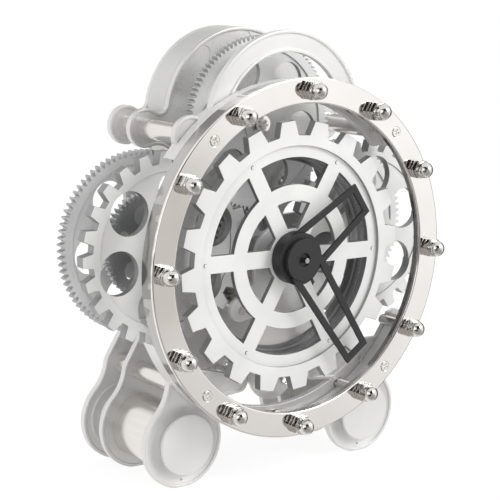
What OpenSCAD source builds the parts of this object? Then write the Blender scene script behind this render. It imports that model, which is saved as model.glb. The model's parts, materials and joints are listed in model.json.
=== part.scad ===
// Open-frame gear clock on two round feet. Millimetres, +Z up, the dial faces -Y.
// Depths are measured backwards from the face of the bezel ring, heights from the main axis.

/* [Bezel] */
// Outer radius of the polished bezel ring
bezel_r = 100; // [97:0.5:104]
// Width of the ring's face
bezel_w = 14.2; // [13:0.1:15]
// Thickness of the bezel ring
bezel_t = 2.6; // [2:0.1:4]
// Number of dome nuts round the ring
nut_count = 12; // [6:1:16]
// Width across the flats of a dome nut
nut_af = 9.8; // [8:0.1:11]
// Height of a dome nut
nut_h = 11.5; // [9:0.1:13]
// Radius of the studs under the dome nuts
stud_r = 3; // [2:0.1:3.5]
// Angle of the four small screws above and below the horizontal
screw_angle = 47.1; // [40:0.1:50]
// Head radius of every small screw
screw_head_r = 2.8; // [2.4:0.1:3]
// Length of the four small screws behind the ring
bezel_screw_l = 7; // [5:0.1:9]

/* [Plates] */
// Thickness of the mid and rear plates
plate_t = 3; // [2.5:0.1:4]
// Height of the raised border on the plates
border_h = 1; // [0.5:0.1:1.2]
// Width of the raised border on the plates
border_w = 1.8; // [1:0.1:2.5]
// Depth of the band behind the bezel ring
band_l = 11; // [9.5:0.1:12]
// Radial width of the band
band_w = 11; // [10:0.1:11.8]
// Length of the casting's thin flange behind the band
flange_l = 10.4; // [9:0.1:12]
// Wall thickness of that flange
flange_wall = 3; // [2:0.1:3]
// Distance that the band lies inside the ring's edge
band_inset = 2.2; // [1.5:0.1:3]
// Clear distance between the front casting and the mid plate
pillar_len = 40; // [39:0.5:44]
// Clear distance between the mid and rear plates
rear_gap = 16.5; // [16:0.1:20]
// Sideways place of the feet, ears and pillars
side_x = 63.7; // [62:0.1:66]
// Height of the upper pillars over the axis
pillar_up = 68.3; // [67:0.1:70]
// Depth of the lower pillars under the axis
pillar_down = 68.3; // [67:0.1:70]
// Radius of the polished pillars
pillar_r = 5.5; // [4:0.1:6]
// Radius of the ears round the pillars
ear_r = 11; // [9:0.1:12]
// Sideways place of the ends of the two tabs inside the front casting
tab_x = 26; // [24:0.1:30]
// Depth of those ends under the axis
tab_drop = 71; // [69:0.1:73]
// Radius of those ends
tab_r = 5; // [4:0.1:6]

/* [Feet] */
// Distance from the bezel ring's edge out to the foot centres
foot_out = 18; // [16:0.1:20]
// Radius of the round feet
foot_r = 25.2; // [23:0.1:27]
// Depth of the small flat that each foot stands on
foot_flat = 0.4; // [0.2:0.1:0.8]
// Radius of the polished foot barrels
barrel_r = 18; // [15:0.1:20]
// Radius of the foot caps
cap_r = 17; // [14:0.1:19]
// Distance that the caps stand in front of the foot rims
cap_proud = 4.3; // [2:0.1:6]
// Distance that the caps stand out over their necks
cap_over = 3; // [2:0.1:5]

/* [Top lobe and drum] */
// Outer radius of the round lobe on top of the front casting
lobe_r = 53.5; // [52:0.1:56]
// Width of the lobe's band
lobe_w = 12; // [10:0.1:14]
// Outer radius of the drum housing
drum_r = 50.4; // [48:0.1:52]
// Wall thickness of the drum housing
drum_wall = 2; // [1.2:0.1:3]
// Height of the drum's centre over the top wheel's axis
drum_rise = 2.6; // [1:0.1:4]

/* [Centre wheel] */
// Tip radius of the centre wheel
centre_tip_r = 75.9; // [74:0.1:78]
// Root radius of the centre wheel
centre_root_r = 67.8; // [66.5:0.1:69]
// Number of teeth of the centre wheel
centre_teeth = 20; // [16:1:24]
// Tooth width at the tip
centre_tip_w = 9.5; // [8:0.1:10.5]
// Tooth width at the root
centre_root_w = 13.4; // [12:0.1:14.5]
// Depth of the centre wheel's face behind the bezel's face
centre_depth = 9; // [8.5:0.1:10]
// Thickness of the centre wheel
centre_t = 5; // [4.5:0.1:6]
// Radius of the round recess that shows the spoked wheel
recess_r = 62; // [60.5:0.1:63]
// Depth of that recess
recess_d = 2; // [1:0.1:2.5]
// Outer radius of the six outer windows
window_r = 55.5; // [54:0.1:57]
// Outer radius of the spoked wheel's middle ring
middle_ring_r = 40.5; // [38:0.1:42]
// Inner radius of the middle ring
middle_ring_in = 31.4; // [29:0.1:33]
// Width of a spoke
spoke_w = 9.6; // [8:0.1:11]
// Number of spokes
spoke_count = 6; // [5:1:8]

/* [Gear train] */
// Distance from the main axis to each of the three outer wheels
arbor_span = 70.6; // [70:0.1:71.5]
// Angle of the side wheels' axes above the horizontal
side_rise = 5.7; // [4:0.1:7]
// Direction of the centre wheel's first tooth
centre_phase = 5.7; // [0:0.1:18]
// Direction of the coarse side wheels' first tooth
cog_phase = 3.5; // [0:0.1:15]
// Teeth of the two side gears
side_teeth = 84; // [80:1:88]
// Teeth of the centre gear that turns the side gears
side_drive_teeth = 36; // [34:1:38]
// Teeth of the top gear
top_teeth = 100; // [96:1:104]
// Teeth of the centre gear that turns the top gear
top_drive_teeth = 46; // [44:1:48]
// Teeth of the motor pinion
pinion_teeth = 14; // [14:1:16]
// Face width of the large gears
gear_t = 5; // [4:0.1:6]
// Play between mating teeth at the pitch circle
backlash = 0.16; // [0.12:0.01:0.25]
// Distance between the side gears and the mid plate
mid_clear = 3; // [2.8:0.1:3.4]
// Distance between the two planes of gears
train_gap = 7.4; // [6.5:0.1:8]

/* [Side wheels] */
// Tip radius of the coarse-toothed side wheels
cog_tip_r = 53.1; // [52:0.1:54]
// Root radius of the coarse-toothed side wheels
cog_root_r = 46.6; // [45.5:0.1:47.5]
// Number of coarse teeth
cog_teeth = 24; // [20:1:28]
// Width of a coarse tooth at its tip
cog_tip_w = 5.6; // [4.8:0.1:6.2]
// Width of a coarse tooth at its root
cog_root_w = 8.2; // [7:0.1:9]
// Thickness of the coarse-toothed wheels
cog_t = 6; // [5:0.1:6.5]
// Teeth of the small dark gears
small_teeth = 58; // [50:1:62]
// Module of the small dark gears
small_module = 1; // [0.8:0.05:1.05]
// Thickness of the small dark gears
small_t = 4; // [3:0.1:5]
// Distance between the small gears and the side gears
small_gap = 6; // [5:0.1:7]
// Distance between the coarse wheels and the small gears
cog_gap = 10; // [9:0.1:11]
// Radius of the round holes in the wheels
hole_r = 12; // [10:0.1:12.3]
// Distance of those holes from the wheel's axis
hole_ring = 32; // [30.5:0.1:33]
// Number of round holes in a wheel
hole_count = 6; // [4:1:6]
// Radius of the round holes in the small dark gears
small_hole_r = 5.5; // [4:0.1:6]
// Distance of those holes from the axis
small_hole_ring = 17.5; // [16:0.1:19]
// Width of the coarse wheels' raised rim inside the teeth
cog_rim = 4.6; // [3:0.1:6]
// Width of the fine gears' raised rim inside the pitch circle
gear_rim = 6; // [5:0.1:7]
// Radius of the round holes in the top driving gear
drive_hole_r = 3.6; // [3:0.1:4]
// Distance of those holes from the axis
drive_hole_ring = 13.5; // [12.5:0.1:14]

/* [Shafts] */
// Radius of the minute hand's arbor
arbor_r = 1.5; // [1.2:0.1:1.8]
// Outer radius of the hour hand's pipe
hour_pipe_r = 3; // [2.6:0.1:3.2]
// Outer radius of the fixed centre tube
centre_tube_r = 4.5; // [4.1:0.1:4.8]
// Outer radius of the pipe that carries the centre wheel
drive_pipe_r = 6.6; // [6.2:0.1:7.5]
// Radius of the fixed arbors under the outer wheels
stub_r = 3; // [2.5:0.1:3.6]
// Outer radius of the outer wheels' pipes
wheel_pipe_r = 5.6; // [5:0.1:7]
// Radial clearance of every running fit
run_fit = 0.05; // [0.03:0.01:0.08]
// Radial clearance of every fixed fit
fixed_fit = 0.05; // [0.03:0.01:0.08]
// End play between turning and fixed parts
end_gap = 0.3; // [0.25:0.05:0.4]

/* [Hands] */
// Length of the minute hand
minute_len = 72; // [68:0.5:73]
// Length of the hour hand
hour_len = 54; // [48:0.5:58]
// Half width of the minute hand at its tip
minute_tip = 8.7; // [7:0.1:10]
// Half width of the hour hand at its tip
hour_tip = 9.9; // [8:0.1:11]
// Width of the bars of both hands
bar_w = 3.7; // [3:0.1:4.5]
// Thickness of both hands
hand_t = 1.6; // [1.2:0.1:2]
// Direction of the minute hand, anticlockwise from three o'clock
minute_dir = -53.6; // [-180:0.1:180]
// Direction of the hour hand, anticlockwise from three o'clock
hour_dir = 35.5; // [-180:0.1:180]
// Radius of the drum under the hour hand
hour_hub_r = 14.6; // [13.5:0.1:15.5]
// Radius of the disc under the minute hand
minute_hub_r = 11.7; // [10.5:0.1:12.5]
// Thickness of the disc under the minute hand
minute_hub_t = 2.8; // [2.4:0.1:3]

/* [Movement] */
// Distance between the main axis and the minute wheel's arbor
motion_span = 19.2; // [18.5:0.1:20]
// Teeth of the cannon pinion
cannon_teeth = 12; // [12:1:12]
// Teeth of the minute wheel
minute_wheel_teeth = 36; // [36:1:36]
// Teeth of the minute wheel's pinion
motion_pinion_teeth = 10; // [10:1:10]
// Teeth of the hour wheel
hour_wheel_teeth = 40; // [40:1:40]
// Radius of the round holes in the brass wheels
motion_hole_r = 2.6; // [2:0.1:3]
// Distance of those holes from their axis
motion_hole_ring = 9; // [8:0.1:10]
// Wall thickness of the movement case
case_wall = 1.6; // [1.2:0.1:2]
// Radius of the drive motor
motor_r = 11.5; // [10:0.1:12.5]
// Radius of the round boss that centres the motor
motor_boss_r = 4.5; // [3:0.1:6]
// Radius of the setting knob
knob_r = 7; // [6:0.1:9]
// Length of the setting knob
knob_l = 7; // [5:0.1:9]
// Radius of a cell
cell_r = 7.1; // [6.8:0.1:7.2]
// Length of a cell
cell_l = 50; // [49:0.1:50.5]
// Radius of the battery door
door_r = 40; // [38:0.1:42]
// Clearance round the battery door
door_gap = 0.4; // [0.3:0.1:0.6]
// Distance between the rear plate and the setting knob
knob_gap = 1; // [0.5:0.1:2]
// Length of the motion arbor inside the knob
knob_seat = 4; // [3:0.1:5]

/* [Hidden] */
$fn = 96;
eps = 0.01;
// Depth by which curves that only touch are made to cross
bite = 0.02;
pressure_angle = 20;
addendum = 0.95;
dedendum = 1.25;

// Depths of the planes, from front to back
centre_back = centre_depth + centre_t;
band_back = bezel_t + band_l;
casting_back = band_back + flange_l;
mid_f = casting_back + pillar_len;
mid_b = mid_f + plate_t;
rear_f = mid_b + rear_gap;
rear_b = rear_f + plate_t;
side_gear_d = mid_f - mid_clear - gear_t;
top_gear_d = side_gear_d - train_gap - gear_t;
small_d = side_gear_d - small_gap - small_t;
cog_d = small_d - cog_gap - cog_t;
pipe_end = side_gear_d + gear_t + 1;
knob_end = rear_b + knob_gap + knob_l;

// The origin lies midway between the dome nuts and the knob, on the ground
foot_drop = sqrt((bezel_r + foot_out) ^ 2 - side_x ^ 2);
mid_depth = (knob_end - nut_h) / 2;
axis_h = foot_drop + foot_r - foot_flat;

// Places on the plates, seen from the front
foot = [side_x, -foot_drop];
lower = [side_x, -pillar_down];
upper = [side_x, pillar_up];
pillars = [lower, upper, [-side_x, -pillar_down], [-side_x, pillar_up]];
lobe_c = [0, arbor_span];
drum_c = [0, arbor_span + drum_rise];
right_c = arbor_span * [cos(side_rise), sin(side_rise)];
left_c = [-right_c[0], right_c[1]];
casting_t = plate_t + border_h;
band_r = bezel_r - band_inset;
band_in = band_r - band_w;
nut_ring = bezel_r - bezel_w / 2;
casting_f = casting_back - casting_t;

// Gears
side_module = 2 * arbor_span / (side_teeth + side_drive_teeth);
top_module = 2 * arbor_span / (top_teeth + top_drive_teeth);
cannon_module = 2 * motion_span / (cannon_teeth + minute_wheel_teeth);
motion_module = 2 * motion_span / (motion_pinion_teeth + hour_wheel_teeth);
motor_drop = side_module * (side_drive_teeth + pinion_teeth) / 2;
motor_c = [0, -motor_drop];
motion_c = [0, motion_span];

// Bridge behind the centre wheel
bridge_f = casting_back + 0.5;
bridge_t = 3;
bridge_b = bridge_f + bridge_t;
post_r = 3;
post_pad_r = post_r + 2.5;
post_low = [9, -74];
post_high = [24, -30];
bridge_tab_r = 15.6;
bridge_posts = [post_low, post_high, [-post_low[0], post_low[1]], [-post_high[0], post_high[1]]];

// Small screws and pin holes
pin_hole_r = 0.5;
screw_r = 1.5;
screw_head_t = 1.4;
screw_proud = 0.4;
bezel_screw_end = bezel_t + bezel_screw_l;
slot_w = 0.7;
slot_d = 0.7;

// Fixed arbors of the outer wheels
side_arbor_d = cog_d - 1;
top_arbor_d = top_gear_d - 2;
arbor_screw_l = 9;
washer_t = 0.8;
washer_r = wheel_pipe_r - 0.6;

// Hands and hubs
minute_hub_d = 0;
minute_hand_d = minute_hub_d + 1;
hour_hub_d = minute_hub_d + minute_hub_t + end_gap;
hour_hand_d = hour_hub_d + 1;
hour_hub_back = centre_depth + recess_d - end_gap;
arbor_tip = 2.5;

// Movement, behind the mid plate
case_w = 64;
cover_rim = 1;
case_clear = 0.3;
case_top = motion_span + (minute_wheel_teeth / 2 + 1) * cannon_module + case_wall + cover_rim + case_clear;
case_low = motor_drop + motor_r + case_wall + cover_rim + case_clear;
case_back = rear_f - border_h - case_clear;
motor_bore = 8;
flange_plate_t = 1.5;
flange_plate_r = 9;
hour_wheel_d = mid_b + flange_plate_t + end_gap + 0.7;
motion_t = 1.8;
pinion_over = 0.4;
minute_wheel_d = hour_wheel_d + motion_t + 1.2;

// Colours
chrome = "#d6cfcb";
nickel = "#b9b0a6";
silver = "#cfd1d2";
pale = "#e6e7e7";
grey = "#a9abad";
dark = "#6b6d70";
black = "#141414";
brass = "#b9985a";

// Puts a shape that is drawn about the main axis in its place over the ground
module place() {
    translate([0, -mid_depth, axis_h]) children();
}

// A flat shape drawn as seen from the front, from depth d, t thick
module slab(d, t) {
    translate([0, d + t, 0]) rotate([90, 0, 0]) linear_extrude(t) children();
}

// Turns a shape that stands on +Z so that it points backwards from depth d
module backwards(c, d) {
    translate([c[0], d, c[1]]) rotate([-90, 0, 0]) children();
}

module rod(c, d, l, r) {
    backwards(c, d) cylinder(h = l, r = r);
}

module pipe(c, d, l, r_out, r_in) {
    difference() {
        rod(c, d, l, r_out);
        rod(c, d - 1, l + 2, r_in);
    }
}

// Cuts right through a piece between its front and back depths
module bore(c, front, back, r) {
    rod(c, front - 1, back - front + 2, r);
}

module both_sides() {
    children();
    mirror([1, 0]) children();
}

module disc(c, r) {
    translate(c) circle(r);
}

// Fills the hollow between two discs up to a concave arc of radius rf that just bites into both
module saddle(a, ra, b, rb, rf, side) {
    span = norm(b - a);
    along = ((ra + rf) ^ 2 - (rb + rf) ^ 2 + span ^ 2) / (2 * span);
    off = side * sqrt((ra + rf) ^ 2 - along ^ 2);
    u = (b - a) / span;
    c = a + along * u + off * [-u[1], u[0]];
    difference() {
        polygon([a, b, c]);
        disc(c, rf + bite);
    }
}

// Two discs joined by bars that run just inside their outer tangents
module link(a, ra, b, rb) {
    span = norm(b - a);
    heading = atan2(b[1] - a[1], b[0] - a[0]);
    lean = acos((ra - rb) / span);
    function rim(c, r, ang) = c + r * [cos(ang), sin(ang)];
    disc(a, ra);
    disc(b, rb);
    polygon([rim(a, ra - bite, heading + lean), rim(a, ra - bite, heading - lean),
             rim(b, rb - bite, heading - lean), rim(b, rb - bite, heading + lean)]);
}

// Involute gear outline, teeth straightened to a few points
function involute(a) = tan(a) * 180 / PI - a;
function half_tooth(r, n, m) =
    let (rp = n * m / 2, rb = rp * cos(pressure_angle))
    90 / n - backlash / 2 / rp * 180 / PI + involute(pressure_angle) - involute(acos(min(1, rb / r)));
function flank_radii(n, m) =
    let (rp = n * m / 2, rb = rp * cos(pressure_angle), root = rp - dedendum * m, tip = rp + addendum * m)
    root < rb ? [root, rb, rp, tip] : [root, rp, tip];
function tooth_side(n, m, mid, dir) =
    let (radii = flank_radii(n, m), rb = n * m / 2 * cos(pressure_angle))
    [for (r = radii) let (a = mid + dir * half_tooth(max(r, rb), n, m)) r * [cos(a), sin(a)]];
function backward(list) = [for (i = [len(list) - 1 : -1 : 0]) list[i]];
function gear_points(n, m, phase) = [
    for (i = [0 : n - 1])
        let (mid = phase + i * 360 / n)
        each concat(tooth_side(n, m, mid, -1), backward(tooth_side(n, m, mid, 1)))
];

// Phase of a gear of nb teeth that meshes, in the direction dir, with one of na teeth at phase pa
function meshed(dir, na, pa, nb) =
    let (f = (dir - pa) * na / 360)
    dir + 180 - (0.5 - (f - floor(f))) * 360 / nb;

// Coarse teeth with straight flanks
function cog_points(n, r_root, r_tip, w_root, w_tip, phase) = [
    for (i = [0 : n - 1])
        let (mid = phase + i * 360 / n, a_root = asin(w_root / 2 / r_root), a_tip = asin(w_tip / 2 / r_tip))
        each [for (v = [[r_root, -a_root], [r_tip, -a_tip], [r_tip, a_tip], [r_root, a_root]])
            v[0] * [cos(mid + v[1]), sin(mid + v[1])]]
];

module round_holes(c, n, ring, r, phase) {
    for (i = [0 : n - 1]) {
        a = phase + i * 360 / n;
        disc(c + ring * [cos(a), sin(a)], r);
    }
}

// Small screw with a cross slot, its head's back at depth d
module cross_screw(c, d, l) {
    difference() {
        union() {
            rod(c, d - screw_head_t, screw_head_t, screw_head_r);
            rod(c, d - eps, l + eps, screw_r);
        }
        for (turn = [0, 90]) {
            translate([c[0], d - screw_head_t, c[1]]) rotate([0, turn + 20, 0])
                cube([screw_head_r * 1.3, 2 * slot_d, slot_w], center = true);
        }
    }
}

// Bezel

bezel_screw_places = [for (sx = [-1, 1], sz = [-1, 1])
    nut_ring * [sx * cos(screw_angle), sz * sin(screw_angle)]];
nut_places = [for (i = [0 : nut_count - 1]) nut_ring * [sin(i * 360 / nut_count), cos(i * 360 / nut_count)]];
hex_h = nut_h * 0.5;
stud_end = casting_back - 1;

module bezel_ring() {
    color(chrome) place() difference() {
        slab(0, bezel_t) difference() {
            circle(bezel_r, $fn = 180);
            circle(bezel_r - bezel_w, $fn = 180);
            for (c = nut_places) disc(c, stud_r + fixed_fit);
            for (c = bezel_screw_places) disc(c, screw_r + fixed_fit);
        }
        for (c = bezel_screw_places) rod(c, -1, 1 + screw_head_t - screw_proud, screw_head_r + fixed_fit);
    }
}

module dome_nut(c) {
    dome_r = nut_af * 0.47;
    rod(c, 0, stud_end, stud_r);
    difference() {
        backwards(c, -hex_h) cylinder(h = hex_h, r = nut_af / sqrt(3), $fn = 6);
        backwards(c, -hex_h - eps) difference() {
            cylinder(h = 1, r = nut_af);
            cylinder(h = 1 + eps, r1 = nut_af / 2, r2 = nut_af / sqrt(3));
        }
    }
    rod(c, dome_r - nut_h, nut_h - dome_r - hex_h + eps, dome_r);
    backwards(c, dome_r - nut_h) sphere(dome_r, $fn = 48);
}

module bezel_band() {
    groove = 0.8;
    lip = 1.2;
    color(nickel) place() difference() {
        union() {
            pipe([0, 0], bezel_t, groove + eps, band_r - lip, band_in, $fn = 180);
            pipe([0, 0], bezel_t + groove, band_l - groove, band_r, band_in, $fn = 180);
        }
        for (c = nut_places) bore(c, bezel_t, band_back, stud_r + fixed_fit);
        for (c = bezel_screw_places) rod(c, bezel_t - 1, bezel_screw_end - bezel_t + 1, screw_r + fixed_fit);
    }
}

module bezel_nuts() {
    color(chrome) place() for (c = nut_places) dome_nut(c);
}

module bezel_screws() {
    seat = screw_head_t - screw_proud;
    color(chrome) place() for (c = bezel_screw_places) cross_screw(c, seat, bezel_screw_end - seat);
}

// Plates

leg_fillet = 26;
heel_fillet = 9;
ear_fillet = 5;

// Leg with its foot disc and the lower ear, drawn for the right side
module leg(inset) {
    difference() {
        disc(foot, foot_r - inset);
        translate([foot[0] - foot_r, -axis_h - foot_r]) square([2 * foot_r, foot_r]);
    }
    disc(lower, ear_r - inset);
    saddle(foot, foot_r - inset, lower, ear_r - inset, leg_fillet + inset, -1);
}

module casting_outline(inset) {
    shoulder = ear_fillet + inset;
    tab_end = [tab_x, -tab_drop];
    difference() {
        union() {
            circle(band_r - inset, $fn = 180);
            disc(lobe_c, lobe_r - inset);
            both_sides() {
                leg(inset);
                saddle(foot, foot_r - inset, [0, 0], band_r - inset, heel_fillet + inset, -1);
                disc(upper, ear_r - inset);
                saddle(upper, ear_r - inset, lobe_c, lobe_r - inset, shoulder, -1);
                saddle(lower, ear_r - inset, [0, 0], band_r - inset, shoulder, 1);
            }
        }
        difference() {
            circle(band_in + inset, $fn = 180);
            both_sides() link(lower, ear_r - inset, tab_end, tab_r - inset);
        }
        difference() {
            disc(lobe_c, lobe_r - lobe_w + inset);
            circle(band_r - border_w + inset, $fn = 180);
        }
    }
}

module front_casting() {
    dish_t = plate_t / 2;
    dish_step = 0.4;
    dish_gap = 0.6;
    color(silver) place() difference() {
        union() {
            slab(casting_back - plate_t, plate_t) casting_outline(0);
            slab(casting_f, border_h) difference() {
                casting_outline(0);
                casting_outline(border_w);
            }
            pipe([0, 0], band_back, flange_l, band_in + flange_wall, band_in, $fn = 180);
        }
        for (c = nut_places) rod(c, casting_f - 1, stud_end - casting_f + 1, stud_r + fixed_fit);
        for (c = pillars) bore(c, casting_f, casting_back, screw_r + fixed_fit);
        for (s = [-1, 1]) {
            backwards([s * foot[0], foot[1]], casting_back - plate_t - eps)
                cylinder(h = dish_t + eps, r1 = foot_r - border_w - dish_step, r2 = cap_r + dish_gap);
            bore([s * foot[0], foot[1] - (foot_r + cap_r) / 2], casting_f, casting_back, pin_hole_r);
        }
    }
}

module web_outline(inset) {
    arch_r = 39.7;
    arch_c = [0, -foot_drop - 12.4];
    waist_r = 31;
    neck_r = 34;
    crotch_fillet = 12;
    difference() {
        union() {
            disc(drum_c, drum_r - inset);
            disc([0, 0], waist_r - inset);
            link([0, 0], waist_r - inset, drum_c, neck_r - inset);
            both_sides() {
                leg(inset);
                link([0, 0], waist_r - inset, lower, ear_r - inset);
                disc(upper, ear_r - inset);
                saddle(upper, ear_r - inset, drum_c, drum_r - inset, ear_fillet + inset, -1);
                saddle(upper, ear_r - inset, drum_c, drum_r - inset, crotch_fillet + inset, 1);
                polygon([[0, 0], lower, foot, arch_c]);
            }
        }
        disc(arch_c, arch_r + inset);
    }
}

module arbor_arms(inset) {
    arm_root_r = 12;
    arm_end_r = 9;
    both_sides() link([0, 0], arm_root_r - inset, right_c, arm_end_r - inset);
}

mark_angles = [15, 54, 87, 126, 165];
mark_r = 4.6;
mark_depth = 0.4;
mark_inset = 6.5;

module mid_plate() {
    boss_f = pipe_end + end_gap;
    boss_r = 8;
    mark_ring = drum_r - mark_inset;
    color(silver) place() difference() {
        union() {
            slab(mid_f, plate_t) {
                web_outline(0);
                arbor_arms(0);
                for (c = bridge_posts) disc(c, post_pad_r);
            }
            slab(mid_f - border_h, border_h + eps) difference() {
                web_outline(0);
                web_outline(border_w);
                arbor_arms(-2);
                for (c = bridge_posts) disc(c, post_pad_r);
            }
            for (c = [left_c, right_c, lobe_c, [0, 0]]) rod(c, boss_f, mid_f - boss_f + eps, boss_r);
        }
        for (c = [left_c, right_c, lobe_c]) bore(c, boss_f, mid_b, stub_r + fixed_fit);
        bore([0, 0], boss_f, mid_b, centre_tube_r + fixed_fit);
        bore(motor_c, mid_f, mid_b, arbor_r + 1);
        for (c = concat(bridge_posts, pillars)) bore(c, mid_f - border_h, mid_b, screw_r + fixed_fit);
        for (a = mark_angles) rod(drum_c + mark_ring * [cos(a), sin(a)], mid_f - 2, 2 + mark_depth, mark_r);
    }
}

module rear_plate() {
    ridge = 0.7;
    ridge_rs = [13, 19];
    color(silver) place() difference() {
        union() {
            slab(rear_f, plate_t) web_outline(0);
            slab(rear_f - border_h, border_h + eps) difference() {
                web_outline(0);
                web_outline(border_w);
                disc(drum_c, drum_r + 1);
            }
            for (s = [-1, 1], r = ridge_rs) {
                pipe([s * foot[0], foot[1]], rear_f - ridge, ridge + eps, r + ridge, r - ridge);
            }
        }
        bore(drum_c, rear_f, rear_b, door_r + door_gap);
        bore(motion_c, rear_f, rear_b, arbor_r + 1);
        for (c = pillars) bore(c, rear_f - border_h, rear_b, screw_r + fixed_fit);
    }
}

module drum_housing() {
    lip_t = 2.5;
    lip_w = 2;
    case_room = 0.5;
    color(silver) place() difference() {
        union() {
            pipe(drum_c, mid_b, rear_gap, drum_r, drum_r - drum_wall);
            pipe(drum_c, rear_f - lip_t, lip_t, drum_r - drum_wall + eps, door_r - lip_w);
        }
        slab(mid_b - 1, rear_gap + 2) case_outline(-case_room);
    }
}

module pillar(c) {
    color(nickel) place() pipe(c, casting_back, pillar_len, pillar_r, screw_r + fixed_fit);
}
module upper_left_pillar() pillar(pillars[3]);
module upper_right_pillar() pillar(pillars[1]);
module lower_left_pillar() pillar(pillars[2]);
module lower_right_pillar() pillar(pillars[0]);

module rear_spacers() {
    color(nickel) place() for (c = pillars) pipe(c, mid_b, rear_gap, pillar_r, screw_r + fixed_fit);
}

module front_plate_screws() {
    color(chrome) place() for (c = pillars) cross_screw(c, casting_back - plate_t, pillar_len / 2);
}

module rear_plate_screws() {
    color(chrome) place() translate([0, 2 * rear_b, 0]) mirror([0, 1, 0])
        for (c = pillars) cross_screw(c, rear_b, 2 * plate_t + rear_gap + pillar_len / 3);
}

module foot_barrel(s) {
    color(nickel) place() rod([s * foot[0], foot[1]], casting_back, pillar_len, barrel_r);
}
module left_foot_barrel() foot_barrel(-1);
module right_foot_barrel() foot_barrel(1);

module foot_cap(s) {
    cap_t = 1.8;
    cap_f = casting_f - cap_proud;
    neck_f = cap_f + cap_t - eps;
    color(silver) place() {
        rod([s * foot[0], foot[1]], cap_f, cap_t, cap_r);
        rod([s * foot[0], foot[1]], neck_f, casting_back - plate_t / 2 - neck_f, cap_r - cap_over);
    }
}
module left_foot_cap() foot_cap(-1);
module right_foot_cap() foot_cap(1);

// Bridge and fixed shafts

module front_bridge() {
    hub_r = 15;
    arm_root = [0, -20];
    arm_root_r = 12;
    arm_end_r = 7;
    color(silver) place() slab(bridge_f, bridge_t) difference() {
        union() {
            link([0, 0], hub_r, [0, post_low[1] + 5], bridge_tab_r);
            both_sides() link(arm_root, arm_root_r, post_high, arm_end_r);
        }
        circle(drive_pipe_r + 1);
        for (c = bridge_posts) disc(c, screw_r + fixed_fit);
    }
}

module bridge_posts() {
    color(nickel) place()
        for (c = bridge_posts) pipe(c, bridge_b, mid_f - bridge_b, post_r, screw_r + fixed_fit);
}

module bridge_screws() {
    color(chrome) place() for (c = bridge_posts) cross_screw(c, bridge_f, mid_b - bridge_f);
}

module centre_tube() {
    front = centre_depth + recess_d + 1;
    color(grey) place() difference() {
        union() {
            rod([0, 0], front, mid_b - front, centre_tube_r);
            rod([0, 0], mid_b, flange_plate_t, flange_plate_r);
        }
        bore([0, 0], front, mid_b + flange_plate_t, hour_pipe_r + run_fit);
    }
}

// Fixed arbor of an outer wheel, its front end at depth d
module stub_arbor(c, d) {
    color(grey) place() difference() {
        union() {
            rod(c, d, mid_b - d, stub_r);
            rod(c, mid_b, flange_plate_t, 2 * stub_r);
        }
        rod(c, d - 1, arbor_screw_l + 1, screw_r + fixed_fit);
    }
}
module left_stub_arbor() stub_arbor(left_c, side_arbor_d);
module right_stub_arbor() stub_arbor(right_c, side_arbor_d);
module top_stub_arbor() stub_arbor(lobe_c, top_arbor_d);

module arbor_screw(c, d) {
    rod(c, d - washer_t, washer_t, washer_r);
    cross_screw(c, d - washer_t, arbor_screw_l);
}

module arbor_screws() {
    color(chrome) place() {
        for (c = [left_c, right_c]) arbor_screw(c, side_arbor_d);
        arbor_screw(lobe_c, top_arbor_d);
    }
}

// Centre wheel and what turns with it

seat_r = recess_r + 3;
pin_ring = recess_r - 3;
pin_r = 1;
hub_flange_r = 14;
hub_flange_t = 2;
hub_rim = 2;

module centre_wheel() {
    color(pale) place() difference() {
        slab(centre_depth, centre_t) difference() {
            polygon(cog_points(centre_teeth, centre_root_r, centre_tip_r,
                               centre_root_w, centre_tip_w, centre_phase));
            circle(recess_r, $fn = 180);
        }
        rod([0, 0], centre_depth + recess_d, centre_t, seat_r, $fn = 180);
    }
}

module spoked_wheel() {
    color(pale) place() slab(centre_depth + recess_d, centre_t - recess_d) difference() {
        union() {
            difference() {
                circle(seat_r - fixed_fit, $fn = 180);
                circle(window_r, $fn = 180);
            }
            difference() {
                circle(middle_ring_r, $fn = 120);
                circle(middle_ring_in, $fn = 120);
            }
            circle(hub_flange_r + hub_rim);
            for (i = [0 : spoke_count - 1]) {
                rotate(i * 360 / spoke_count) translate([0, -spoke_w / 2]) square([window_r + 1, spoke_w]);
            }
        }
        circle(drive_pipe_r + fixed_fit);
        round_holes([0, 0], spoke_count, pin_ring, pin_r, 0);
    }
}

module spoke_pins() {
    front = centre_depth + recess_d - 0.4;
    color(grey) place() for (i = [0 : spoke_count - 1]) {
        a = i * 360 / spoke_count;
        rod(pin_ring * [cos(a), sin(a)], front, centre_back - front, pin_r - fixed_fit);
    }
}

module drive_pipe() {
    front = centre_depth + recess_d;
    color(grey) place() difference() {
        union() {
            rod([0, 0], front, pipe_end - front, drive_pipe_r);
            rod([0, 0], centre_back, hub_flange_t, hub_flange_r);
        }
        bore([0, 0], front, pipe_end, centre_tube_r + run_fit);
    }
}

module top_drive_gear() {
    color(grey) place() slab(top_gear_d, gear_t) difference() {
        polygon(gear_points(top_drive_teeth, top_module, 0));
        circle(drive_pipe_r + fixed_fit);
        round_holes([0, 0], 5, drive_hole_ring, drive_hole_r, 0);
    }
}

module side_drive_gear() {
    color(grey) place() slab(side_gear_d, gear_t) difference() {
        polygon(gear_points(side_drive_teeth, side_module, 0));
        circle(drive_pipe_r + fixed_fit);
    }
}

// Outer wheels

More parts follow.
